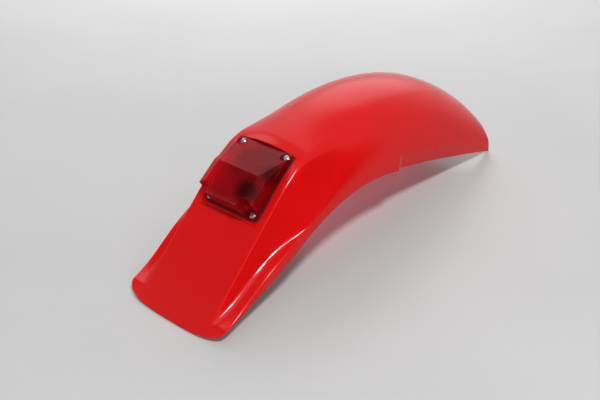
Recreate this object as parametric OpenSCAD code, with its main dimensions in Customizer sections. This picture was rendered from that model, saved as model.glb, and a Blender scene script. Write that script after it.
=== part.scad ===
// Rear fender of an off-road motorcycle with its tail lamp.
// One moulded plastic fender: a flat tail flap with raised centre panel and
// turned-down skirts, running up into a half-round arch over the wheel.
// The lamp stands in a shallow seat at the top of the flap.
// Millimetres. X runs from the tail tip (-X) to the front end (+X), Y is
// across, Z is up. The fender rests on its tail tip and two front corners.

/* [Fender side shape] */

// Angle of the tail flap above the floor, degrees
flap_angle = 42.2; // [36:0.1:48]
// Length of the flat flap from the tip to the start of the bend
flap_length = 236; // [200:1:280]
// Radius of the bend over the lamp, seen from the side
bend_radius = 57; // [40:1:90]
// Rise of the crown just after the bend, degrees
crown_rise = 9; // [4:0.1:14]
// Straight run of the crown after the bend
crown_straight = 61; // [30:1:100]
// Radius of the arch over the wheel along the crown
crown_radius = 431; // [330:1:560]
// Fall of the crown where the front nose starts, degrees
crown_drop = 34.5; // [28:0.5:42]
// Radius of the front nose of the crown
nose_radius = 150; // [90:5:260]
// Turn of the front nose, degrees
nose_turn = 14; // [6:1:24]

/* [Fender lower edge] */

// Slope of the lower edge at the tail corner, degrees
edge_slope = 17.5; // [10:0.5:24]
// How much shorter the rising part of the lower edge is than the flap
edge_rise_cut = 87; // [70:1:110]
// Length of the arched part of the lower edge
edge_arch_length = 190; // [140:1:240]
// Length of the falling part of the lower edge
edge_fall_length = 304; // [240:1:360]
// Extra slope gained along the rising part, degrees
edge_rise_turn = 8; // [2:0.5:14]
// Turn of the arched part, degrees
edge_arch_turn = 39.3; // [28:0.5:46]
// Turn of the falling part, degrees
edge_fall_turn = 5; // [1:0.5:12]

/* [Fender widths] */

// Half width of the tail flap at the skirts
tail_half = 82; // [70:0.5:95]
// Half width of the arch above the axle
mid_half = 85; // [74:0.5:98]
// Half width at the front end
front_half = 92; // [80:0.5:106]
// Width of the raised centre panel beside the lamp seat
panel_margin = 12; // [9:0.5:16]
// Run of the flank between the centre panel and the tail flange
flank_run = 6; // [3:0.5:10]
// Thickness of the plastic
wall = 2.6; // [2:0.1:3.6]
// How far the middle of the tail stands past its corners
tail_sag = 22; // [12:0.5:32]
// Height of the turned-down skirt at its full depth
skirt_height = 16; // [10:0.5:20]
// Roundness of the arch section, 2 is an ellipse
arch_roundness = 2.18; // [2:0.01:2.6]
// Drop of the shoulders below the crown at the bend
shoulder_drop = 8.8; // [5:0.1:12]
// Rounding of the shoulders at the bend
shoulder_round = 7.5; // [4:0.1:8.5]

/* [Fender side step] */

// Distance from the start of the bend to the inward step of the lower side
step_from_bend = 198; // [150:1:260]
// Length of the step along the side
step_length = 7; // [4:0.5:14]
// Inward depth of the step at the lower edge
step_depth = 3.5; // [1.5:0.1:6]
// Upward depth of the step at the lower edge
step_lift = 2; // [0.5:0.1:4]
// Height over which the step fades out
step_height = 30; // [18:1:50]

/* [Lamp seat] */

// How far the upper end of the seat reaches past the start of the bend
seat_past_bend = 14; // [8:0.5:18]
// Gap between the gasket and the sides of the seat
seat_side_gap = 1.9; // [0.5:0.1:4]
// Gap between the gasket and the upper end of the seat
seat_top_gap = 0.9; // [0.3:0.1:3]
// Depth of the seat at its lower end
seat_depth = 2.5; // [1.5:0.1:4]
// Angle of the seat floor below the flap plane, degrees
seat_tilt = 3.2; // [2:0.1:4.5]

/* [Lamp] */

// Length of the lamp along the seat
lamp_length = 95.5; // [85:0.5:110]
// Half width of the lamp
lamp_half = 43.5; // [38:0.1:50]
// Gap between the lamp and the lower end of the seat
lamp_gap = 6; // [4:0.1:7]
// Height of the lens ridge above the seat floor
lens_height = 31; // [28:0.5:38]
// Distance of the ridge from the lower edge of the lamp
ridge_at = 48; // [42:0.1:54]
// Rise of the main panel of the lens from the ridge to its lower end
panel_rise = 2.6; // [1:0.1:4]
// Width of the bevels along the sides of the lens
bevel_width = 10; // [6:0.5:13]
// Drop of the bevels at the side faces
bevel_drop = 4.5; // [2:0.1:6]
// Wall of the lens
lens_wall = 2.2; // [1.6:0.1:3]
// Thickness of the lens flange
flange_thick = 2; // [1.6:0.1:3]
// Thickness of the rubber gasket
gasket_thick = 1; // [0.8:0.1:2]
// How far the gasket stands out round the lamp
gasket_out = 0.6; // [0.2:0.1:1.2]
// Thickness of the lamp plate
plate_thick = 1; // [0.8:0.1:1.6]
// Rounding of the lower upper edge of the lens
lens_round = 7; // [4:0.5:9]
// Radius of the wells of the lower screws at the flange
well_low = 7; // [6:0.1:7.5]
// Radius of the wells of the lower screws at the main panel
well_high = 9; // [8:0.1:10]

/* [Fasteners] */

// Diameter of the lamp screws
screw_d = 5; // [4:0.1:6]
// Diameter of the screw heads
head_d = 9; // [8:0.1:10]
// Height of the screw heads
head_height = 2.4; // [2:0.1:3.2]
// Clearance of the screws in their holes, on the diameter
hole_gap = 0.6; // [0.3:0.1:1]
// Gap between the screw heads and the walls of their pockets
head_gap = 0.2; // [0.1:0.05:1]
// Distance of the lower screws from the lower edge of the lamp
screw_low = 6.3; // [5.5:0.1:7.5]
// Distance of the upper screws from the upper edge of the lamp
screw_high = 7.3; // [6:0.1:9]
// Width across the flats of the nuts
nut_flats = 8; // [7:0.1:9]
// Height of the nuts
nut_height = 4; // [3:0.1:5]
// Diameter of the washers
washer_d = 10; // [9:0.1:11]
// Thickness of the washers
washer_thick = 1; // [0.8:0.1:1.5]

/* [Bulb] */

// Diameter of the bulb glass
glass_d = 18; // [14:0.5:20]
// Diameter of the bulb cap
cap_d = 15; // [12:0.5:16]

/* [Hidden] */

tiny = 0.01;
red = [0.8, 0.08, 0.08];
steel = [0.75, 0.76, 0.78];

// Small helpers: smooth ramp, mix, and a step along a circular arc
function ramp(t) = let (c = min(1, max(0, t))) c * c * (3 - 2 * c);
function mix(a, b, t) = a + (b - a) * t;
function along(a) = [cos(a), sin(a)];
function arc_step(p, a, turn, len) = abs(turn) < 0.01
  ? p + len * along(a)
  : let (r = len * 180 / (PI * turn))
    p + r * [sin(a + turn) - sin(a), cos(a) - cos(a + turn)];

// Lamp seat: its size follows the lamp, its place follows the bend
seat_length = lamp_gap + lamp_length + gasket_out + seat_top_gap;
seat_half = lamp_half + gasket_out + seat_side_gap;
seat_from_tip = flap_length + seat_past_bend - seat_length;

// Widths and lengths that follow from the values above
crease_half = seat_half + panel_margin;
flange_width = tail_half - 1 - crease_half - flank_run;
edge_rise_length = flap_length - edge_rise_cut;
step_at = flap_length + step_from_bend;

// Crown rail in the XZ plane: flap, bend, straight, arch, nose.
// The tip rests on the floor by the lower corner of the plastic.
tip = [0, wall * cos(flap_angle)];
bend_turn = flap_angle - crown_rise;
bend_length = bend_radius * bend_turn * PI / 180;
arch_turn = crown_rise + crown_drop;
arch_length = crown_radius * arch_turn * PI / 180;
nose_length = nose_radius * nose_turn * PI / 180;
s_bend = flap_length;
s_flat = s_bend + bend_length;
s_arch = s_flat + crown_straight;
s_nose = s_arch + arch_length;
s_end = s_nose + nose_length;
p_bend = tip + s_bend * along(flap_angle);
p_flat = arc_step(p_bend, flap_angle, -bend_turn, bend_length);
p_arch = p_flat + crown_straight * along(crown_rise);
p_nose = arc_step(p_arch, crown_rise, -arch_turn, arch_length);

function crown_point(s) =
  s <= s_bend ? tip + s * along(flap_angle) :
  s <= s_flat ? arc_step(p_bend, flap_angle,
    -bend_turn * (s - s_bend) / bend_length, s - s_bend) :
  s <= s_arch ? p_flat + (s - s_flat) * along(crown_rise) :
  s <= s_nose ? arc_step(p_arch, crown_rise,
    -arch_turn * (s - s_arch) / arch_length, s - s_arch) :
  arc_step(p_nose, -crown_drop,
    -nose_turn * (s - s_nose) / nose_length, s - s_nose);
function crown_angle(s) =
  s <= s_bend ? flap_angle :
  s <= s_flat ? flap_angle - bend_turn * (s - s_bend) / bend_length :
  s <= s_arch ? crown_rise :
  s <= s_nose ? crown_rise - arch_turn * (s - s_arch) / arch_length :
  -crown_drop - nose_turn * (s - s_nose) / nose_length;

// Lower edge rail: starts under the tail corner, ends at the front corner
edge_depth = wall + 0.6;
e0 = tip + tail_sag * along(flap_angle) + edge_depth * along(flap_angle - 90);
edge_length = edge_rise_length + edge_arch_length + edge_fall_length;
e1 = arc_step(e0, edge_slope, edge_rise_turn, edge_rise_length);
e2 = arc_step(e1, edge_slope + edge_rise_turn, -edge_arch_turn, edge_arch_length);
edge_fall_slope = edge_slope + edge_rise_turn - edge_arch_turn;
e3 = arc_step(e2, edge_fall_slope, -edge_fall_turn, edge_fall_length);

// The whole rail is lowered along its length so that it ends on the floor
function edge_raw(e) =
  e <= 0 ? e0 + e * along(flap_angle) :
  e <= edge_rise_length ? arc_step(e0, edge_slope,
    edge_rise_turn * e / edge_rise_length, e) :
  e <= edge_rise_length + edge_arch_length ? arc_step(e1, edge_slope + edge_rise_turn,
    -edge_arch_turn * (e - edge_rise_length) / edge_arch_length, e - edge_rise_length) :
  arc_step(e2, edge_fall_slope,
    -edge_fall_turn * (e - edge_rise_length - edge_arch_length) / edge_fall_length,
    e - edge_rise_length - edge_arch_length);
function edge_point(e) = edge_raw(e) - [0, e3.y * max(0, e) / edge_length];

// Match of the two rails: the edge lags behind the crown along the lamp
lag_start = s_bend - 116;
lag_end = s_bend + 54;
edge_lag = 43.7;
edge_rate = 0.945;
function edge_at(s) = let (
    base = edge_rate * (s - tail_sag) - edge_lag * ramp((s - lag_start) / (lag_end - lag_start)),
    last = edge_rate * (s_end - tail_sag) - edge_lag)
  s <= tail_sag ? s - tail_sag
  : base + (edge_length - last) * ramp((s - lag_end) / (s_end - lag_end));
function half_width(s) = mix(mix(tail_half, mid_half, ramp((s - s_bend + 186) / 110)),
  front_half, ramp((s - s_arch + 31) / (s_end - s_arch + 31)));

// Section shape along the crown
skirt_from = 20;
skirt_run = seat_from_tip * 0.75;
function skirt(s) = wall + (skirt_height - wall) * ramp((s - skirt_from) / skirt_run);
function flange(s) = 1 + flange_width * (1 - ramp((s - s_bend + 106) / 100));
function crease_cut(s) = 1.5 + (shoulder_round - 1.5) * ramp((s - s_bend + 66) / 80);
function shoulder(s) = shoulder_drop * ramp((s - s_bend + 36) / 60);
function arch_mix(s) = ramp((s - s_bend - 4) / 105);
function sill(s) = 1.2 * ramp((s / seat_from_tip - 0.27) / 0.27)
  * (1 - ramp((s / seat_from_tip - 0.82) / 0.4));
function step_in(s) = ramp((s - step_at) / step_length);
function step_up(s) = step_lift * step_in(s) * (1 - ramp((s - step_at) / (s_end - step_at)));

function toward(a, b, l) = let (d = b - a, n = norm(d)) a + d / n * min(l, n * 0.45);
function curve(a, b, c, t) = (1 - t) * (1 - t) * a + 2 * t * (1 - t) * b + t * t * c;

// Half section at distance s: 21 points [y, depth], from crown to lower edge.
// inset moves it inward by the wall for the inner skin.
function frame(s, inset) = let (
    a = crown_angle(s),
    c = crown_point(s) + inset * along(a - 90),
    v = edge_point(edge_at(s)) - c)
  [c, v / norm(v), norm(v)];
function flap_section(s, inset, deep) = let (
    yw = half_width(s) - inset,
    lc = deep - skirt(s) + inset,
    cy = crease_half - inset * 0.4,
    sg = shoulder(s),
    cc = crease_cut(s),
    fy = yw - flange(s),
    fd = lc + sill(s),
    crease = [cy, sg], foot = [fy, fd], lip = [yw, lc], edge = [yw, deep],
    k0 = [cy - cc, sg * pow((cy - cc) / crease_half, 2)],
    k2 = toward(crease, foot, cc),
    g0 = toward(foot, crease, 7), g2 = toward(foot, lip, 7),
    h0 = toward(lip, foot, 2), h2 = toward(lip, edge, 2),
    sf = seat_half + (inset > 0 ? 1.5 : 0))
  concat(
    [for (y = [0, seat_half * 0.26, seat_half * 0.52, seat_half * 0.78, seat_half * 0.94,
      sf, sf + 1.2, (sf + 1.2 + k0.x) / 2]) [y, sg * pow(y / crease_half, 2)]],
    [k0, curve(k0, crease, k2, 0.5), k2, (k2 + g0) / 2, g0, curve(g0, foot, g2, 0.5), g2,
     (g2 + h0) / 2, h0, curve(h0, lip, h2, 0.5), h2, (h2 + edge) / 2, edge]);
function arch_section(s, inset, deep, flap) = let (
    yw = half_width(s) - inset, n = arch_roundness,
    t8 = asin(pow(flap[8].x / yw, n / 2)))
  [for (j = [0 : 20]) let (
      t = j < 8 ? asin(pow(flap[j].x / yw, n / 2)) : t8 + (90 - t8) * (j - 8) / 12)
    j < 20 ? [yw * pow(sin(t), 2 / n), deep * (1 - pow(cos(t), 2 / n))] : [yw, deep]];
function section(s, inset, deep) = let (
    flap = flap_section(s, inset, deep),
    w = arch_mix(s))
  w <= 0 ? flap : let (arch = arch_section(s, inset, deep, flap))
  [for (j = [0 : 20]) let (p = mix(flap[j], arch[j], w),
      f = ramp((p.y - deep + step_height) / step_height))
    [p.x - step_depth * step_in(s) * f, p.y - step_up(s) * f * p.y / deep]];

// Seat floor in the XZ plane
seat_angle = flap_angle - seat_tilt;
seat_origin = tip + seat_from_tip * along(flap_angle) + seat_depth * along(flap_angle - 90);
s_seat = seat_from_tip;
s_seat_top = seat_from_tip + seat_length;
function seat_point(s, inset) = seat_origin + (s - s_seat) * along(seat_angle)
  + inset * along(seat_angle - 90);

// One point of the skin: column j of the section at s
function skin_point(s, j, inset) = let (
    fr = frame(s, inset), q = section(s, inset, fr[2])[j],
    p = (s > s_seat + tiny && s <= s_seat_top + tiny && j <= 5)
      ? seat_point(s, inset) : fr[0] + fr[1] * q.y)
  [p.x, q.x, p.y];
function skin_row(s, inset) = let (fr = frame(s, inset), q = section(s, inset, fr[2]))
  [for (j = [0 : 20]) let (
      p = (s > s_seat + tiny && s <= s_seat_top + tiny && j <= 5)
        ? seat_point(s, inset) : fr[0] + fr[1] * q[j].y)
    [p.x, q[j].x, p.y]];

// Rounded tail end: the rows bend round the corners near the tip
end_fade = seat_from_tip * 0.75;
function end_lag(v) = tail_sag * (1 - sqrt(max(0, 1 - pow(min(1, v), 3.2))));
function half_row(s, inset) = let (base = skin_row(s, inset), k = max(0, 1 - s / end_fade))
  k <= 0 ? base :
  [for (j = [0 : 20]) skin_point(s + k * end_lag(base[j].y / base[20].y), j, inset)];
function full_row(s, inset) = let (r = half_row(s, inset))
  concat([for (j = [20 : -1 : 1]) r[j]], [for (j = [0 : 20]) [r[j].x, -r[j].y, r[j].z]]);

tail_rows = [for (i = [0 : 14]) s_seat * pow(i / 14, 1.5)];
seat_rows = [for (i = [0 : 9]) mix(s_seat + 0.8, s_seat_top, pow(i / 9, 0.85))];
bend_rows = [for (i = [0 : 4]) mix(s_seat_top + 0.8, s_flat + 6, i / 4)];
arch_rows = [for (i = [1 : 8]) mix(s_flat + 6, step_at, i / 8)];
step_rows = [for (i = [1 : 3]) step_at + step_length * i / 3];
front_rows = [for (i = [1 : 12]) mix(step_at + step_length, s_end, i / 12)];
rows = concat(tail_rows, seat_rows, bend_rows, arch_rows, step_rows, front_rows);
row_count = len(rows);
columns = 41;

// The part frame has its origin under the middle of the length
mid_x = e3.x / 2;

module shell_body() {
  outer = [for (s = rows) each full_row(s, 0)];
  inner = [for (s = rows) each full_row(s, wall)];
  n = row_count * columns;
  skins = [for (i = [0 : row_count - 2]) for (j = [0 : columns - 2]) let (
      a = i * columns + j, b = a + 1, c = a + columns, d = c + 1)
    each [[a, b, d], [a, d, c], [n + a, n + d, n + b], [n + a, n + c, n + d]]];
  ends = [for (j = [0 : columns - 2]) let (
      a = j, b = j + 1, c = (row_count - 1) * columns + j, d = c + 1)
    each [[a, n + b, b], [a, n + a, n + b], [c, d, n + d], [c, n + d, n + c]]];
  sides = [for (i = [0 : row_count - 2]) let (
      a = i * columns, c = a + columns, b = a + columns - 1, d = b + columns)
    each [[a, c, n + c], [a, n + c, n + a], [b, n + d, d], [b, n + b, n + d]]];
  polyhedron(points = concat(outer, inner), faces = concat(skins, ends, sides), convexity = 8);
}

// Places things on the seat: local X up the seat, local Z out of it
module on_seat() {
  translate([seat_origin.x, 0, seat_origin.y]) rotate([0, -seat_angle, 0]) children();
}
module part_frame() { translate([-mid_x, 0, 0]) children(); }

lamp_x0 = lamp_gap;
lamp_x1 = lamp_gap + lamp_length;
lens_half = lamp_half - 0.6;
screw_half = lens_half - lens_wall - head_d / 2 - head_gap;
screw_x_low = lamp_x0 + screw_low;
screw_x_high = lamp_x1 - screw_high;
function screw_place(i) = [i < 2 ? screw_x_low : screw_x_high, (i % 2 == 0 ? -1 : 1) * screw_half];
hole_d = screw_d + hole_gap;
plate_z = gasket_thick;
flange_z = plate_z + plate_thick;
seat_z = flange_z + flange_thick;

module screw_holes(z0, z1) {
  for (i = [0 : 3]) let (p = screw_place(i))
    translate([p.x, p.y, z0]) cylinder(h = z1 - z0, d = hole_d, $fn = 32);
}

module fender_shell() {
  color(red) part_frame() difference() {
    shell_body();
    on_seat() screw_holes(-wall - 2, 2);
  }
}

// Plate with round corners standing on z0
module round_plate(x0, x1, half, r, z0, h) {
  union() {
    translate([x0 + r, -half, z0]) cube([x1 - x0 - 2 * r, 2 * half, h]);
    translate([x0, -half + r, z0]) cube([x1 - x0, 2 * (half - r), h]);
    for (x = [x0 + r, x1 - r], y = [-half + r, half - r])
      translate([x, y, z0]) cylinder(h = h, r = r, $fn = 48);
  }
}

module lamp_gasket() {
  rim = 13;
  color([0.08, 0.08, 0.09]) part_frame() on_seat() difference() {
    round_plate(lamp_x0 - gasket_out, lamp_x1 + gasket_out, lamp_half + gasket_out,
      5 + gasket_out, 0, gasket_thick);
    round_plate(lamp_x0 + rim, lamp_x1 - rim, lamp_half - rim, 6, -1, gasket_thick + 2);
    screw_holes(-1, gasket_thick + 1);
  }
}

module lamp_plate() {
  color([0.7, 0.7, 0.72]) part_frame() on_seat() difference() {
    round_plate(lamp_x0, lamp_x1, lamp_half, 5, plate_z, plate_thick);
    screw_holes(plate_z - 1, flange_z + 1);
  }
}

// Lens outline seen from the side: lower face, main panel, ridge, top panel
ridge_x = lamp_x0 + ridge_at;
front_x = lamp_x0 + 1.5;
back_x = lamp_x1 - 0.5;
panel_slope = panel_rise / (ridge_x - front_x - lens_round);
top_slope = (lens_height - seat_z) / (back_x - ridge_x);

// Bulb line: across the lamp in the middle of the hollow, socket on the -Y side
bulb_z = (flange_z + lens_height - lens_wall) / 2;
back_wall = lens_wall * norm([1, top_slope]) / top_slope;
bulb_x = (front_x + lens_wall + ridge_x + (lens_height - bulb_z) / top_slope - back_wall) / 2;
bulb_height = bulb_z - flange_z;
socket_wall = 0.6;
socket_d = cap_d + 2 * socket_wall;
socket_y0 = 10 - lens_half;
socket_len = 17;

module along_y(y) { translate([bulb_x, y, bulb_z]) rotate([-90, 0, 0]) children(); }

module bulb_holder() {
  color([0.55, 0.55, 0.5]) part_frame() on_seat() difference() {
    union() {
      along_y(socket_y0) cylinder(h = socket_len, d = socket_d, $fn = 64);
      translate([bulb_x - 5, socket_y0, flange_z]) cube([10, 1.6, bulb_height - cap_d / 2 + 1]);
      translate([bulb_x - 5, socket_y0, flange_z]) cube([10, 12, 1]);
    }
    along_y(socket_y0 + 1.6) cylinder(h = socket_len, d = cap_d, $fn = 64);
  }
}

module bulb_contact() {
  color([0.8, 0.65, 0.3]) part_frame() on_seat() along_y(socket_y0 + 1.6) union() {
    cylinder(h = 1.2, d = cap_d - 2, $fn = 48);
    translate([0, 0, 1.2 - tiny]) cylinder(h = 1.3 + tiny, d = 4, $fn = 32);
  }
}

cap_y0 = socket_y0 + 1.6 + 2.5;
cap_len = 16;
module bulb_cap() {
  color(steel) part_frame() on_seat() along_y(cap_y0) union() {
    cylinder(h = 1.5, d1 = 6, d2 = 7, $fn = 32);
    translate([0, 0, 1.5 - tiny]) cylinder(h = 1.5 + tiny, d1 = 9, d2 = cap_d - 0.4, $fn = 64);
    translate([0, 0, 3 - tiny]) cylinder(h = cap_len - 3 + tiny, d = cap_d - 0.4, $fn = 64);
  }
}

module bulb_glass() {
  neck = cap_d - 2.4;
  color([0.9, 0.92, 0.95, 0.6]) part_frame() on_seat() along_y(cap_y0 + cap_len)
  union() {
    cylinder(h = 4, d1 = neck, d2 = glass_d - 3, $fn = 64);
    translate([0, 0, glass_d / 2 + 1.5]) sphere(d = glass_d, $fn = 64);
  }
}

// Everything under a plane through p with the given slopes along X and Y,
// lowered square to itself by shrink
big = 4 * lamp_length;
module under(p, slope_x, slope_y, shrink) {
  steep = norm([slope_x, slope_y, 1]);
  translate(p - [0, 0, shrink * steep]) rotate([asin(slope_y / steep), -atan(slope_x), 0])
    translate([-big / 2, -big / 2, -big]) cube(big);
}

// Lens body: steep lower face with a round upper edge, main panel, sloping
// top panel, and a bevel along each side that runs out at the upper corners.
// shrink gives the hollow inside.
module lens_block(shrink) {
  half = lens_half - shrink;
  r = lens_round - shrink;
  ridge = [ridge_x, 0, lens_height];
  inside = [0, lens_half - bevel_width, 0];
  bevel = bevel_drop / bevel_width;
  bevel_top = (lens_height - bevel_drop - seat_z) / (back_x - ridge_x);
  tilt = atan(panel_slope);
  face = (ridge_x - front_x) * cos(tilt) - (lens_height - seat_z) * sin(tilt);
  z0 = shrink > 0 ? flange_z - 1 : flange_z;
  intersection() {
    translate([lamp_x0, -half, z0])
      cube([back_x - lamp_x0 - shrink, 2 * half, 2 * lens_height]);
    translate(ridge) rotate([0, tilt, 0]) translate([-face, 0, 0]) union() {
      translate([lens_round, -big / 2, -big]) cube([big, big, big - shrink]);
      translate([shrink, -big / 2, -big]) cube([r + 1, big, big - lens_round]);
      translate([lens_round, -big / 2, -lens_round]) rotate([-90, 0, 0])
        cylinder(h = big, r = r, $fn = 96);
    }
    under(ridge, -top_slope, 0, shrink);
    under(ridge + inside, -panel_slope, -bevel, shrink);
    under(ridge - inside, -panel_slope, bevel, shrink);
    under(ridge + inside, -bevel_top, -bevel, shrink);
    under(ridge - inside, -bevel_top, bevel, shrink);
  }
}

// Well of a lower screw: a cone round the screw, open to the corner
module well(side, grow, z0) {
  top = 1.5 * lens_height;
  wide = (well_high - well_low) * (top - seat_z) / (lens_height - seat_z);
  translate([screw_x_low, side * screw_half, z0]) union() {
    cylinder(h = seat_z - z0 + tiny, r = well_low + grow, $fn = 64);
    translate([0, 0, seat_z - z0]) cylinder(h = top - seat_z, r1 = well_low + grow,
      r2 = well_low + wide + grow, $fn = 64);
    translate([-30 + grow, side < 0 ? -30 + grow : -grow, 0]) cube([30, 30, top]);
  }
}
bore_r = head_d / 2 + 1.4;
module head_bore(side, grow, z0) {
  translate([screw_x_high, side * screw_half, z0])
    cylinder(h = lens_height, r = bore_r + grow, $fn = 48);
}

module lamp_lens() {
  color([0.6, 0.02, 0.04, 0.85]) part_frame() on_seat() difference() {
    union() {
      round_plate(lamp_x0, lamp_x1, lamp_half, 5, flange_z, flange_thick);
      lens_block(0);
    }
    difference() {
      lens_block(lens_wall);
      for (side = [-1, 1]) {
        well(side, lens_wall, flange_z - 2);
        head_bore(side, lens_wall, flange_z - 2);
      }
    }
    for (side = [-1, 1]) {
      well(side, 0, seat_z);
      head_bore(side, 0, seat_z);
    }
    screw_holes(flange_z - 1, seat_z + 1);
  }
}

screw_reach = seat_z + wall + washer_thick + nut_height + 1.5;
module lens_screw(i) {
  p = screw_place(i);
  color(steel) part_frame() on_seat() translate([p.x, p.y, seat_z]) difference() {
    union() {
      rotate_extrude($fn = 48) polygon(concat(
        [[0, 0], [head_d / 2, 0]],
        [for (t = [0 : 15 : 90]) [head_d / 2 * cos(t * 0.75),
          head_height * 0.35 + head_height * 0.65 * sin(t * 0.75) / sin(67.5)]],
        [[0, head_height]]));
      translate([0, 0, 0.8 - screw_reach]) cylinder(h = screw_reach - 0.8 + tiny, d = screw_d, $fn = 32);
      translate([0, 0, -screw_reach]) cylinder(h = 0.8, d1 = screw_d - 1.4, d2 = screw_d, $fn = 32);
    }
    for (a = [0, 90]) rotate([0, 0, a])
      translate([-2.3, -0.5, head_height - 1.5]) cube([4.6, 1, 3]);
    translate([0, 0, head_height - 1.5]) cylinder(h = 3, d = 2.2, $fn = 24);
  }
}
module washer(i) {
  p = screw_place(i);
  color(steel) part_frame() on_seat() translate([p.x, p.y, -wall - washer_thick]) difference() {
    cylinder(h = washer_thick, d = washer_d, $fn = 48);
    translate([0, 0, -1]) cylinder(h = washer_thick + 2, d = screw_d + 0.3, $fn = 32);
  }
}
module nut(i) {
  p = screw_place(i);
  top = -wall - washer_thick;
  color(steel) part_frame() on_seat() translate([p.x, p.y, top - nut_height]) difference() {
    intersection() {
      cylinder(h = nut_height, d = nut_flats / cos(30), $fn = 6);
      union() {
        cylinder(h = 0.7, d1 = nut_flats - 0.2, d2 = nut_flats / cos(30) + 0.4, $fn = 48);
        translate([0, 0, 0.7 - tiny]) cylinder(h = nut_height - 0.7 + tiny,
          d = nut_flats / cos(30) + 0.4, $fn = 48);
      }
    }
    translate([0, 0, -1]) cylinder(h = nut_height + 2, d = screw_d + 0.04, $fn = 32);
  }
}
module lens_screw_1() { lens_screw(0); }
module lens_screw_2() { lens_screw(1); }
module lens_screw_3() { lens_screw(2); }
module lens_screw_4() { lens_screw(3); }
module washer_1() { washer(0); }
module washer_2() { washer(1); }
module washer_3() { washer(2); }
module washer_4() { washer(3); }
module nut_1() { nut(0); }
module nut_2() { nut(1); }
module nut_3() { nut(2); }
module nut_4() { nut(3); }

fender_shell();
lamp_gasket();
lamp_plate();
bulb_holder();
bulb_contact();
bulb_cap();
bulb_glass();
lamp_lens();
lens_screw_1();
lens_screw_2();
lens_screw_3();
lens_screw_4();
washer_1();
washer_2();
washer_3();
washer_4();
nut_1();
nut_2();
nut_3();
nut_4();
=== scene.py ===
# Looks of the motorcycle rear fender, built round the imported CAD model.
# The fender shell is drawn again with a finer mesh from the same rails and
# sections as the CAD solid, with one crease a little sharper near the seat.
# The lamp's nodes are kept and get materials.

import math

import bmesh
import bpy
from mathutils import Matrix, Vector


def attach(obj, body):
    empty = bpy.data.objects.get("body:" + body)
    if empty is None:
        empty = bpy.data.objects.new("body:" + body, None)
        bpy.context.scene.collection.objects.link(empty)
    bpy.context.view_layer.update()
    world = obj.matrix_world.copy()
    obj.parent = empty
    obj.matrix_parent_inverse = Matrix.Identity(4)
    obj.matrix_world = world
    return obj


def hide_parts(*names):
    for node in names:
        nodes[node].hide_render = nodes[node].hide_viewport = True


MM = 0.001

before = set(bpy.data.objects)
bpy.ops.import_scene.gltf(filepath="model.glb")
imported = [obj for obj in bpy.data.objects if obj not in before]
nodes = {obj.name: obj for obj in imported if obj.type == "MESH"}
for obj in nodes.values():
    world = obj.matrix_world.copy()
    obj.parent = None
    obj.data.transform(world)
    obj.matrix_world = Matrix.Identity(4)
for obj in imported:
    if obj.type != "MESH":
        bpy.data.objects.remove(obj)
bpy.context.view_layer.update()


# Camera and floor
CAMERA_PLACE = (-833.0, -632.8, 674.5)
CAMERA_AZIMUTH = -50.5
CAMERA_ELEVATION = 32.0
CAMERA_LENS = 51.0
FLOOR_HALF, FLOOR_GAP = 5.0, 0.0002


def add_camera():
    a, e = math.radians(CAMERA_AZIMUTH), math.radians(CAMERA_ELEVATION)
    back = Vector((math.sin(a) * math.cos(e), -math.cos(a) * math.cos(e), math.sin(e)))
    data = bpy.data.cameras.new("camera")
    data.lens = CAMERA_LENS
    data.sensor_width = 36.0
    data.clip_start, data.clip_end = 0.05, 50.0
    camera = bpy.data.objects.new("camera", data)
    camera.location = Vector(CAMERA_PLACE) * MM
    camera.rotation_mode = "QUATERNION"
    camera.rotation_quaternion = (-back).to_track_quat("-Z", "Y")
    bpy.context.scene.collection.objects.link(camera)
    bpy.context.scene.camera = camera


def add_floor(material):
    """A plain floor, kept out of reflections so that it veils no lower side."""
    h = FLOOR_HALF
    mesh = bpy.data.meshes.new("floor")
    mesh.from_pydata([(-h, -h, 0), (h, -h, 0), (h, h, 0), (-h, h, 0)], [], [(0, 1, 2, 3)])
    floor = bpy.data.objects.new("floor", mesh)
    floor.location.z = -FLOOR_GAP
    floor.visible_glossy = False
    mesh.materials.append(material)
    bpy.context.scene.collection.objects.link(floor)


def add_light(name, place, target, size, power, glossy=False):
    data = bpy.data.lights.new(name, "AREA")
    data.shape = "RECTANGLE"
    data.size, data.size_y = size
    data.energy = power
    light = bpy.data.objects.new(name, data)
    light.location = place
    light.rotation_mode = "QUATERNION"
    light.rotation_quaternion = (Vector(target) - Vector(place)).to_track_quat("-Z", "Y")
    light.visible_glossy = glossy
    bpy.context.scene.collection.objects.link(light)
    return light


# Fender form: the same values and rails as the CAD solid, millimetres
FLAP_ANGLE, FLAP_LENGTH = 42.2, 236.0
BEND_RADIUS = 57.0
CROWN_RISE, CROWN_STRAIGHT = 9.0, 61.0
CROWN_RADIUS, CROWN_DROP = 431.0, 34.5
NOSE_RADIUS, NOSE_TURN = 150.0, 14.0
EDGE_SLOPE = 17.5
EDGE_RISE_LENGTH, EDGE_RISE_TURN = 149.0, 8.0
EDGE_ARCH_LENGTH, EDGE_ARCH_TURN = 190.0, 39.3
EDGE_FALL_LENGTH, EDGE_FALL_TURN = 304.0, 5.0
TAIL_HALF, MID_HALF, FRONT_HALF, CREASE_HALF = 82.0, 85.0, 92.0, 58.0
WALL = 2.6
TAIL_SAG = 22.0
SKIRT_HEIGHT, FLANGE_WIDTH = 16.0, 17.0
ARCH_ROUNDNESS = 2.18
SHOULDER_DROP, SHOULDER_ROUND = 8.8, 7.5
STEP_AT, STEP_LENGTH, STEP_DEPTH, STEP_LIFT, STEP_HEIGHT = 434.0, 7.0, 3.5, 2.0, 30.0
SEAT_FROM_TIP, SEAT_LENGTH, SEAT_HALF = 147.0, 103.0, 46.0
SEAT_DEPTH, SEAT_TILT = 2.5, 3.2
LAG_START, LAG_END, EDGE_LAG, EDGE_RATE = 120.0, 290.0, 43.7, 0.945
END_FADE = 110.25
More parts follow.
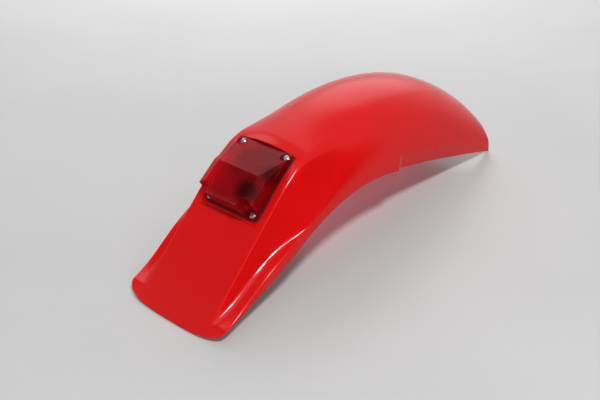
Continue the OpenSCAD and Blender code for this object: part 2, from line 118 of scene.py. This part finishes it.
SCREW_X, SCREW_Y, HOLE, HOLE_SIDES = (12.3, 94.2), 36.0, 5.6, 64

# Bevels and smoothing: widths in millimetres, angles in degrees
SHELL_RIM, SHELL_RIM_SEGMENTS, SHELL_RIM_ANGLE, SHELL_SHARP = 0.55, 3, 50, 40
LENS_RIM, PART_RIM, PART_RIM_SEGMENTS, PART_RIM_ANGLE, PART_SHARP = 0.35, 0.12, 2, 30, 35

# Spots on the surfaces: place, outer and inner radius in millimetres, colour
FLECK_COLOUR, DARK_SPOT_COLOUR = (0.75, 0.55, 0.52), (0.25, 0.012, 0.012)
SHELL_SPOTS = (
    ((-48, 39.7, 176.7), 1.3, 0.7, FLECK_COLOUR),
    ((-43, 33.1, 180.1), 1.3, 0.7, FLECK_COLOUR),
    # A small dark spot low on the near side
    ((145, -87.6, 78), 2.6, 0.8, DARK_SPOT_COLOUR),
)
# Painted light and shade on the lens: the first spot is a brighter patch of painted light, the
# other three are darker patches of painted shade
LENS_PAINTED_LIGHT_AND_SHADE = (
    ((-200, 42, 143), 44, 12, (0.98, 0.006, 0.026)),
    ((-158, -10, 166), 46, 22, (0.40, 0.0035, 0.011)),
    ((-170, -41, 157), 20, 6, (0.20, 0.002, 0.004)),
    ((-201, -28, 144), 21, 8, (0.15, 0.002, 0.004)),
)


def ramp(t):
    t = min(1.0, max(0.0, t))
    return t * t * (3 - 2 * t)


def mix(a, b, t):
    return a + (b - a) * t


def along(degrees):
    return Vector((math.cos(math.radians(degrees)), math.sin(math.radians(degrees))))


def arc_step(point, angle, turn, length):
    if abs(turn) < 0.01:
        return point + along(angle) * length
    radius = length / math.radians(turn)
    a, b = math.radians(angle), math.radians(angle + turn)
    return point + radius * Vector((math.sin(b) - math.sin(a), math.cos(a) - math.cos(b)))


class Rail:
    """A plane curve of straight runs and arcs, joined end to end."""

    def __init__(self, start, angle, runs):
        self.pieces, s = [], 0.0
        for length, turn in runs:
            self.pieces.append((s, start, angle, turn, length))
            start = arc_step(start, angle, turn, length)
            angle, s = angle + turn, s + length
        self.length, self.end = s, start

    def find(self, s):
        piece = self.pieces[0]
        for candidate in self.pieces:
            if s >= candidate[0]:
                piece = candidate
        return piece

    def point(self, s):
        start_s, start, angle, turn, length = self.find(s)
        share = (s - start_s) / length
        return arc_step(start, angle, turn * share, s - start_s)

    def angle(self, s):
        start_s, _, angle, turn, length = self.find(s)
        return angle + turn * (s - start_s) / length


TIP = Vector((0.0, WALL * math.cos(math.radians(FLAP_ANGLE))))
BEND_TURN = FLAP_ANGLE - CROWN_RISE
CROWN = Rail(TIP, FLAP_ANGLE, [
    (FLAP_LENGTH, 0.0),
    (BEND_RADIUS * math.radians(BEND_TURN), -BEND_TURN),
    (CROWN_STRAIGHT, 0.0),
    (CROWN_RADIUS * math.radians(CROWN_RISE + CROWN_DROP), -(CROWN_RISE + CROWN_DROP)),
    (NOSE_RADIUS * math.radians(NOSE_TURN), -NOSE_TURN),
])
S_FLAT = FLAP_LENGTH + BEND_RADIUS * math.radians(BEND_TURN)
S_ARCH = S_FLAT + CROWN_STRAIGHT
S_END = CROWN.length
EDGE_FOOT = TIP + along(FLAP_ANGLE) * TAIL_SAG + along(FLAP_ANGLE - 90) * (WALL + 0.6)
EDGE = Rail(EDGE_FOOT, EDGE_SLOPE, [
    (EDGE_RISE_LENGTH, EDGE_RISE_TURN),
    (EDGE_ARCH_LENGTH, -EDGE_ARCH_TURN),
    (EDGE_FALL_LENGTH, -EDGE_FALL_TURN),
])
EDGE_START = EDGE.point(0.0)
MID_X = EDGE.end.x / 2
SEAT_ANGLE = FLAP_ANGLE - SEAT_TILT
SEAT_TOP = SEAT_FROM_TIP + SEAT_LENGTH
SEAT_ORIGIN = TIP + along(FLAP_ANGLE) * SEAT_FROM_TIP + along(FLAP_ANGLE - 90) * SEAT_DEPTH


def edge_point(e):
    if e <= 0:
        return EDGE_START + along(FLAP_ANGLE) * e
    return EDGE.point(e) - Vector((0.0, EDGE.end.y * e / EDGE.length))


def edge_at(s):
    if s <= TAIL_SAG:
        return s - TAIL_SAG
    base = EDGE_RATE * (s - TAIL_SAG) - EDGE_LAG * ramp((s - LAG_START) / (LAG_END - LAG_START))
    last = EDGE_RATE * (S_END - TAIL_SAG) - EDGE_LAG
    return base + (EDGE.length - last) * ramp((s - LAG_END) / (S_END - LAG_END))


def half_width(s):
    width = mix(TAIL_HALF, MID_HALF, ramp((s - 50) / 110))
    return mix(width, FRONT_HALF, ramp((s - S_ARCH + 31) / (S_END - S_ARCH + 31)))


def toward(a, b, length):
    d = b - a
    return a + d.normalized() * min(length, d.length * 0.45)


def curve(a, b, c, t):
    return (1 - t) * (1 - t) * a + 2 * t * (1 - t) * b + t * t * c


def flap_section(s, inset, deep):
    """The flap's half section: a function from 0 at the crown to 20 at the edge."""
    yw = half_width(s) - inset
    skirt = WALL + (SKIRT_HEIGHT - WALL) * ramp((s - 20) / END_FADE)
    flange = 1 + FLANGE_WIDTH * (1 - ramp((s - 130) / 100))
    cut = 1.5 + (SHOULDER_ROUND - 1.5) * ramp((s - 195) / 70)
    drop = SHOULDER_DROP * ramp((s - 200) / 60)
    low = deep - skirt + inset
    share = s / SEAT_FROM_TIP
    sill = low + 1.2 * ramp((share - 0.27) / 0.27) * (1 - ramp((share - 0.82) / 0.4))
    crease = Vector((CREASE_HALF - inset * 0.4, drop))
    foot, lip, edge = Vector((yw - flange, sill)), Vector((yw, low)), Vector((yw, deep))
    k0x = crease.x - cut
    k0 = Vector((k0x, drop * (k0x / CREASE_HALF) ** 2))
    k2 = toward(crease, foot, cut)
    g0, g2 = toward(foot, crease, 7), toward(foot, lip, 7)
    h0, h2 = toward(lip, foot, 2), toward(lip, edge, 2)
    side = SEAT_HALF + (1.5 if inset > 0 else 0)
    across = [SEAT_HALF * k for k in (0, 0.26, 0.52, 0.78, 0.94)]
    across += [side, side + 1.2, (side + 1.2 + k0.x) / 2, k0.x]

    def at(j):
        if j < 8:
            i = int(j)
            y = mix(across[i], across[i + 1], j - i)
            return Vector((y, drop * (y / CREASE_HALF) ** 2))
        if j < 10:
            return curve(k0, crease, k2, (j - 8) / 2)
        if j < 12:
            return k2.lerp(g0, (j - 10) / 2)
        if j < 14:
            return curve(g0, foot, g2, (j - 12) / 2)
        if j < 16:
            return g2.lerp(h0, (j - 14) / 2)
        if j < 18:
            return curve(h0, lip, h2, (j - 16) / 2)
        return h2.lerp(edge, (j - 18) / 2)

    return at


def arch_section(s, inset, deep, flap):
    """The arch's half section over the same span, a rounded half ellipse."""
    yw, n = half_width(s) - inset, ARCH_ROUNDNESS

    def turn(y):
        return math.asin(min(1.0, (y / yw) ** (n / 2)))

    start = turn(flap(8).x)

    def at(j):
        t = turn(flap(j).x) if j < 8 else start + (math.pi / 2 - start) * (j - 8) / 12
        if j >= 20:
            return Vector((yw, deep))
        return Vector((yw * math.sin(t) ** (2 / n), deep * (1 - max(0.0, math.cos(t)) ** (2 / n))))

    return at


def skin_point(s, j, inset):
    """A point of the outer (inset 0) or inner skin, as x, half width and z."""
    crown = CROWN.point(s) + along(CROWN.angle(s) - 90) * inset
    line = edge_point(edge_at(s)) - crown
    deep = line.length
    flap = flap_section(s, inset, deep)
    p = flap(j)
    share = ramp((s - 240) / 105)
    if share > 0:
        p = p.lerp(arch_section(s, inset, deep, flap)(j), share)
        step = ramp((s - STEP_AT) / STEP_LENGTH)
        lift = STEP_LIFT * step * (1 - ramp((s - STEP_AT) / (S_END - STEP_AT)))
        fade = ramp((p.y - deep + STEP_HEIGHT) / STEP_HEIGHT)
        p = Vector((p.x - STEP_DEPTH * step * fade, p.y - lift * fade * p.y / deep))
    if SEAT_FROM_TIP + 0.01 < s <= SEAT_TOP + 0.01 and j <= 5:
        q = SEAT_ORIGIN + along(SEAT_ANGLE) * (s - SEAT_FROM_TIP) + along(SEAT_ANGLE - 90) * inset
    else:
        q = crown + line.normalized() * p.y
    return q.x, p.x, q.y


def tail_lag(v):
    return TAIL_SAG * (1 - math.sqrt(max(0.0, 1 - min(1.0, v) ** 3.2)))


def spread(start, end, count, power=1.0):
    return [mix(start, end, (i / count) ** power) for i in range(count + 1)]


def section_rows():
    """Distances along the crown at which the fine mesh has a row."""
    rows = spread(0, SEAT_FROM_TIP, 56, 1.5)
    rows += spread(SEAT_FROM_TIP + 0.8, SEAT_TOP, 26)
    rows += spread(SEAT_TOP + 0.8, S_FLAT + 6, 20)
    rows += spread(S_FLAT + 6, STEP_AT, 36)[1:]
    rows += spread(STEP_AT, STEP_AT + STEP_LENGTH, 8)[1:]
    rows += spread(STEP_AT + STEP_LENGTH, S_END, 52)[1:]
    return rows


def section_columns():
    """Places across the half section at which the fine mesh has a column."""
    spans = [(0, 4, 6), (4, 5, 1), (5, 6, 1), (6, 8, 2), (8, 10, 10), (10, 12, 5),
             (12, 14, 10), (14, 16, 4), (16, 18, 8), (18, 20, 4)]
    columns = [0.0]
    for start, end, count in spans:
        columns += spread(start, end, count)[1:]
    return columns


def make_shell(material):
    """The fender as one closed skin with a rounded rim."""
    rows, columns = section_rows(), section_columns()
    bm = bmesh.new()
    skins = []
    for inset in (0.0, WALL):
        grid = []
        for s in rows:
            base = [skin_point(s, j, inset) for j in columns]
            fade = max(0.0, 1 - s / END_FADE)
            if fade > 0:
                wide = base[-1][1]
                base = [skin_point(s + fade * tail_lag(p[1] / wide), j, inset)
                        for p, j in zip(base, columns)]
            points = [(x, y, z) for x, y, z in reversed(base[1:])]
            points += [(x, -y, z) for x, y, z in base]
            grid.append([bm.verts.new(((x - MID_X) * MM, y * MM, z * MM)) for x, y, z in points])
        skins.append(grid)
    outer, inner = skins
    last = len(outer[0]) - 1
    for i in range(len(rows) - 1):
        for j in range(last):
            bm.faces.new((outer[i][j], outer[i][j + 1], outer[i + 1][j + 1], outer[i + 1][j]))
            bm.faces.new((inner[i][j], inner[i + 1][j], inner[i + 1][j + 1], inner[i][j + 1]))
        for j in (0, last):
            bm.faces.new((outer[i][j], outer[i + 1][j], inner[i + 1][j], inner[i][j]))
    for i in (0, len(rows) - 1):
        for j in range(last):
            bm.faces.new((outer[i][j], outer[i][j + 1], inner[i][j + 1], inner[i][j]))
    bmesh.ops.recalc_face_normals(bm, faces=bm.faces)
    mesh = bpy.data.meshes.new("fender")
    bm.to_mesh(mesh)
    bm.free()
    mesh.materials.append(material)
    shell = bpy.data.objects.new("fender", mesh)
    bpy.context.scene.collection.objects.link(shell)
    drill_holes(shell)
    shell.data.shade_smooth()
    add_bevel(shell, SHELL_RIM, SHELL_RIM_SEGMENTS, SHELL_RIM_ANGLE)
    add_smoothing(shell, SHELL_SHARP)
    return shell


def drill_holes(shell):
    """The four screw holes through the seat, cut into the mesh itself."""
    bm = bmesh.new()
    up = along(SEAT_ANGLE + 90)
    for distance in SCREW_X:
        middle = SEAT_ORIGIN + along(SEAT_ANGLE) * distance - up * (WALL / 2)
        for side in (-1, 1):
            ring = []
            for k in range(HOLE_SIDES):
                a = 2 * math.pi * k / HOLE_SIDES
                flat = middle + along(SEAT_ANGLE) * (HOLE / 2 * math.cos(a))
                y = side * SCREW_Y + HOLE / 2 * math.sin(a)
                ring.append([bm.verts.new(((q.x - MID_X) * MM, y * MM, q.y * MM))
                             for q in (flat - up * 5, flat + up * 5)])
            for k in range(HOLE_SIDES):
                (a, b), (c, d) = ring[k], ring[(k + 1) % HOLE_SIDES]
                bm.faces.new((a, c, d, b))
            bm.faces.new([low for low, _ in reversed(ring)])
            bm.faces.new([top for _, top in ring])
    bmesh.ops.recalc_face_normals(bm, faces=bm.faces)
    drill_mesh = bpy.data.meshes.new("drills")
    bm.to_mesh(drill_mesh)
    bm.free()
    drills = bpy.data.objects.new("drills", drill_mesh)
    bpy.context.scene.collection.objects.link(drills)
    cut = shell.modifiers.new("holes", "BOOLEAN")
    cut.operation, cut.solver, cut.object = "DIFFERENCE", "EXACT", drills
    graph = bpy.context.evaluated_depsgraph_get()
    drilled = bpy.data.meshes.new_from_object(shell.evaluated_get(graph), depsgraph=graph)
    shell.modifiers.remove(cut)
    old, shell.data = shell.data, drilled
    bpy.data.meshes.remove(old)
    drilled.name = "fender"
    bpy.data.objects.remove(drills)
    bpy.data.meshes.remove(drill_mesh)


def add_bevel(obj, width, segments, degrees):
    bevel = obj.modifiers.new("rim", "BEVEL")
    bevel.width, bevel.segments = width * MM, segments
    bevel.limit_method, bevel.angle_limit = "ANGLE", math.radians(degrees)
    bevel.harden_normals = False


def smoothing_group():
    """Node group: smooth faces, with edges over a given angle kept sharp."""
    group = bpy.data.node_groups.get("smooth_faces")
    if group:
        return group
    group = bpy.data.node_groups.new("smooth_faces", "GeometryNodeTree")
    group.interface.new_socket("Geometry", in_out="INPUT", socket_type="NodeSocketGeometry")
    group.interface.new_socket("Angle", in_out="INPUT", socket_type="NodeSocketFloat")
    group.interface.new_socket("Geometry", in_out="OUTPUT", socket_type="NodeSocketGeometry")
    start, end = group.nodes.new("NodeGroupInput"), group.nodes.new("NodeGroupOutput")
    faces = group.nodes.new("GeometryNodeSetShadeSmooth")
    faces.domain = "FACE"
    faces.inputs["Shade Smooth"].default_value = True
    edges = group.nodes.new("GeometryNodeSetShadeSmooth")
    edges.domain = "EDGE"
    edges.inputs["Shade Smooth"].default_value = False
    angle = group.nodes.new("GeometryNodeInputMeshEdgeAngle")
    over = group.nodes.new("FunctionNodeCompare")
    over.data_type, over.operation = "FLOAT", "GREATER_THAN"
    link = group.links.new
    link(start.outputs["Geometry"], faces.inputs["Geometry"])
    link(faces.outputs["Geometry"], edges.inputs["Geometry"])
    link(angle.outputs["Unsigned Angle"], over.inputs["A"])
    link(start.outputs["Angle"], over.inputs["B"])
    link(over.outputs["Result"], edges.inputs["Selection"])
    link(edges.outputs["Geometry"], end.inputs["Geometry"])
    return group


def add_smoothing(obj, degrees):
    smooth = obj.modifiers.new("smooth", "NODES")
    smooth.node_group = smoothing_group()
    for item in smooth.node_group.interface.items_tree:
        if item.name == "Angle":
            smooth[item.identifier] = math.radians(degrees)


# Materials
def new_material(name):
    material = bpy.data.materials.new(name)
    material.use_nodes = True
    tree = material.node_tree
    shader = tree.nodes["Principled BSDF"]
    return material, tree, shader


def node(tree, kind, **values):
    made = tree.nodes.new(kind)
    for key, value in values.items():
        if key in made.inputs:
            made.inputs[key].default_value = value
        else:
            setattr(made, key, value)
    return made


def noise(tree, scale, detail):
    """Noise over the object's own coordinates."""
    coords = tree.nodes.new("ShaderNodeTexCoord")
    texture = node(tree, "ShaderNodeTexNoise", Scale=scale, Detail=detail)
    tree.links.new(coords.outputs["Object"], texture.inputs["Vector"])
    return texture.outputs["Fac"]


def spread_of(tree, source, low, high, lo_in=0.35, hi_in=0.65):
    mapped = node(tree, "ShaderNodeMapRange")
    mapped.inputs["From Min"].default_value = lo_in
    mapped.inputs["From Max"].default_value = hi_in
    mapped.inputs["To Min"].default_value = low
    mapped.inputs["To Max"].default_value = high
    tree.links.new(source, mapped.inputs["Value"])
    return mapped.outputs["Result"]


def near(tree, place, outer, inner):
    """From 0 to 1 as a point of the object nears a place given in millimetres."""
    coords = tree.nodes.new("ShaderNodeTexCoord")
    gap = node(tree, "ShaderNodeVectorMath", operation="DISTANCE")
    gap.inputs[1].default_value = Vector(place) * MM
    tree.links.new(coords.outputs["Object"], gap.inputs[0])
    return spread_of(tree, gap.outputs["Value"], 1, 0, inner * MM, outer * MM)


def bump(tree, shader, source, strength, distance):
    made = node(tree, "ShaderNodeBump", Strength=strength, Distance=distance)
    tree.links.new(source, made.inputs["Height"])
    tree.links.new(made.outputs["Normal"], shader.inputs["Normal"])


def blend_colours(tree, factor, a, b):
    """A colour between a and b; either may be a socket or a plain colour."""
    mixed = node(tree, "ShaderNodeMix", data_type="RGBA")
    tree.links.new(factor, mixed.inputs["Factor"])
    for name, value in (("A", a), ("B", b)):
        if isinstance(value, tuple):
            mixed.inputs[name].default_value = (*value, 1)
        else:
            tree.links.new(value, mixed.inputs[name])
    return mixed.outputs["Result"]


def add_spots(tree, colour, spots):
    for place, outer, inner, tone in spots:
        colour = blend_colours(tree, near(tree, place, outer, inner), colour, tone)
    return colour


def red_plastic():
    material, tree, shader = new_material("red_plastic")
    cloud = spread_of(tree, noise(tree, 9, 4), 0, 1)
    red = blend_colours(tree, cloud, (0.62, 0.0046, 0.0052), (0.58, 0.0040, 0.0046))
    tree.links.new(add_spots(tree, red, SHELL_SPOTS), shader.inputs["Base Color"])
    tree.links.new(spread_of(tree, noise(tree, 45, 5), 0.10, 0.15), shader.inputs["Roughness"])
    shader.inputs["IOR"].default_value = 1.49
    shader.inputs["Subsurface Weight"].default_value = 0.85
    shader.inputs["Subsurface Radius"].default_value = (1.0, 0.04, 0.04)
    shader.inputs["Subsurface Scale"].default_value = 0.009
    bump(tree, shader, noise(tree, 700, 2), 0.04, 0.0002)
    return material


def lens_red():
    """See-through red, with painted light and shade for the inside of the lens: one brighter patch
    of painted light and three darker patches of painted shade.
    """
    material, tree, shader = new_material("lens_red")
    tint = spread_of(tree, noise(tree, 30, 3), 0, 1)
    red = blend_colours(tree, tint, (0.74, 0.0045, 0.018), (0.66, 0.0040, 0.015))
    # The lens's painted light and shade go into its base colour
    tree.links.new(add_spots(tree, red, LENS_PAINTED_LIGHT_AND_SHADE), shader.inputs["Base Color"])
    shader.inputs["Transmission Weight"].default_value = 0.82
    shader.inputs["IOR"].default_value = 1.36
    tree.links.new(spread_of(tree, noise(tree, 60, 3), 0.05, 0.09), shader.inputs["Roughness"])
    return material


def rubber():
    material, tree, shader = new_material("rubber")
    dust = spread_of(tree, noise(tree, 120, 4), 0, 1)
    black = blend_colours(tree, dust, (0.016, 0.016, 0.017), (0.024, 0.023, 0.023))
    tree.links.new(black, shader.inputs["Base Color"])
    tree.links.new(spread_of(tree, noise(tree, 300, 4), 0.55, 0.8), shader.inputs["Roughness"])
    shader.inputs["Specular IOR Level"].default_value = 0.25
    bump(tree, shader, noise(tree, 1500, 3), 0.15, 0.0002)
    return material


def metal(name, colour, rough, scale):
    material, tree, shader = new_material(name)
    worn = tuple(c * 0.82 for c in colour)
    patch = spread_of(tree, noise(tree, scale * 0.3, 4), 0, 1)
    tree.links.new(blend_colours(tree, patch, colour, worn), shader.inputs["Base Color"])
    shader.inputs["Metallic"].default_value = 1.0
    tree.links.new(spread_of(tree, noise(tree, scale, 4), *rough), shader.inputs["Roughness"])
    bump(tree, shader, noise(tree, scale * 3, 2), 0.04, 0.0001)
    return material


def bulb_glass():
    material, tree, shader = new_material("bulb_glass")
    haze = spread_of(tree, noise(tree, 60, 3), 0, 1)
    clear = blend_colours(tree, haze, (0.93, 0.95, 0.96), (0.88, 0.90, 0.91))
    tree.links.new(clear, shader.inputs["Base Color"])
    shader.inputs["Transmission Weight"].default_value = 1.0
    shader.inputs["IOR"].default_value = 1.2
    tree.links.new(spread_of(tree, noise(tree, 80, 2), 0.0, 0.04), shader.inputs["Roughness"])
    return material


def floor_paper():
    material, tree, shader = new_material("floor_paper")
    grain = spread_of(tree, noise(tree, 3, 4), 0, 1)
    paper = blend_colours(tree, grain, (0.505, 0.505, 0.505), (0.485, 0.485, 0.485))
    tree.links.new(paper, shader.inputs["Base Color"])
    shader.inputs["Roughness"].default_value = 0.8
    shader.inputs["Specular IOR Level"].default_value = 0.2
    return material


def dress(names, material):
    for name in names:
        slots = nodes[name].data.materials
        slots.clear()
        slots.append(material)


# Light and colour
def set_world():
    """A soft dome with brighter and darker parts, each a lobe round a direction."""
    world = bpy.data.worlds.new("studio")
    bpy.context.scene.world = world
    world.use_nodes = True
    tree = world.node_tree
    coords = tree.nodes.new("ShaderNodeTexCoord")

    def lobe(azimuth, elevation, outer, inner, least, most):
        """From least to most as the direction nears the lobe's middle, in degrees."""
        a, e = math.radians(azimuth), math.radians(elevation)
        flat = math.cos(e)
        dot = node(tree, "ShaderNodeVectorMath", operation="DOT_PRODUCT")
        dot.inputs[1].default_value = (math.cos(a) * flat, math.sin(a) * flat, math.sin(e))
        tree.links.new(coords.outputs["Generated"], dot.inputs[0])
        shade = node(tree, "ShaderNodeMapRange", interpolation_type="SMOOTHSTEP")
        shade.inputs["From Min"].default_value = math.cos(math.radians(outer))
        shade.inputs["From Max"].default_value = math.cos(math.radians(inner))
        shade.inputs["To Min"].default_value = least
        shade.inputs["To Max"].default_value = most
        tree.links.new(dot.outputs["Value"], shade.inputs["Value"])
        return shade.outputs["Result"]

    def join(operation, a, b):
        made = node(tree, "ShaderNodeMath", operation=operation)
        tree.links.new(a, made.inputs[0])
        tree.links.new(b, made.inputs[1])
        return made.outputs["Value"]

    panel = lobe(22, 30, 29, 8, 0.28, 1.05)
    sweep = lobe(30, 6, 60, 25, 0.0, 0.30)
    left = lobe(152, 64, 16, 7, 0.0, 0.9)
    end = lobe(82, 46, 17, 8, 0.0, 0.9)
    side = lobe(-78, -2, 40, 28, 1.0, 0.04)
    above = lobe(128, 50, 20, 9, 1.0, 0.35)
    dark = join("MULTIPLY", side, above)
    bright = join("ADD", join("ADD", panel, sweep), join("ADD", left, end))
    light = join("MULTIPLY", bright, dark)
    tree.links.new(light, tree.nodes["Background"].inputs["Color"])
    tree.nodes["Background"].inputs["Strength"].default_value = 1.0
    bpy.context.scene.view_settings.view_transform = "Standard"


def build():
    add_camera()
    set_world()
    add_floor(floor_paper())
    add_light("key", (-1.04, -1.72, 3.5), (0.0, 0.0, 0.08), (0.5, 0.5), 104, glossy=True)
    far = add_light("far", (1.9, 1.8, 2.0), (1.4, 1.3, 0.0), (1.6, 1.6), 27)
    far.data.spread = math.radians(85)
    add_light("fill", (-1.5, -2.0, 0.8), (0.0, 0.0, 0.05), (2.0, 0.9), 22)
    # The light that the thin red plastic lets through onto the floor
    glow = add_light("glow", (0.05, 0.0, 0.075), (0.05, 0.0, 0.0), (0.32, 0.09), 0.045)
    glow.data.color = (1.0, 0.12, 0.20)
    glow.data.spread = math.radians(100)
    glow.visible_camera = False

    shell = make_shell(red_plastic())
    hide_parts("fender_shell")
    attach(shell, "root")

    screws = [f"{kind}_{i}" for kind in ("lens_screw", "washer", "nut") for i in (1, 2, 3, 4)]
    dress(screws, metal("screw_steel", (0.74, 0.74, 0.76), (0.16, 0.3), 400))
    dress(["lamp_plate", "bulb_holder"], metal("plate_steel", (0.42, 0.41, 0.41), (0.3, 0.45), 300))
    dress(["bulb_contact", "bulb_cap"], metal("brass", (0.68, 0.5, 0.24), (0.2, 0.35), 300))
    dress(["lamp_gasket"], rubber())
    dress(["bulb_glass"], bulb_glass())
    dress(["lamp_lens"], lens_red())
    for name in nodes:
        if name != "fender_shell":
            width = LENS_RIM if name == "lamp_lens" else PART_RIM
            add_bevel(nodes[name], width, PART_RIM_SEGMENTS, PART_RIM_ANGLE)
            add_smoothing(nodes[name], PART_SHARP)


build()
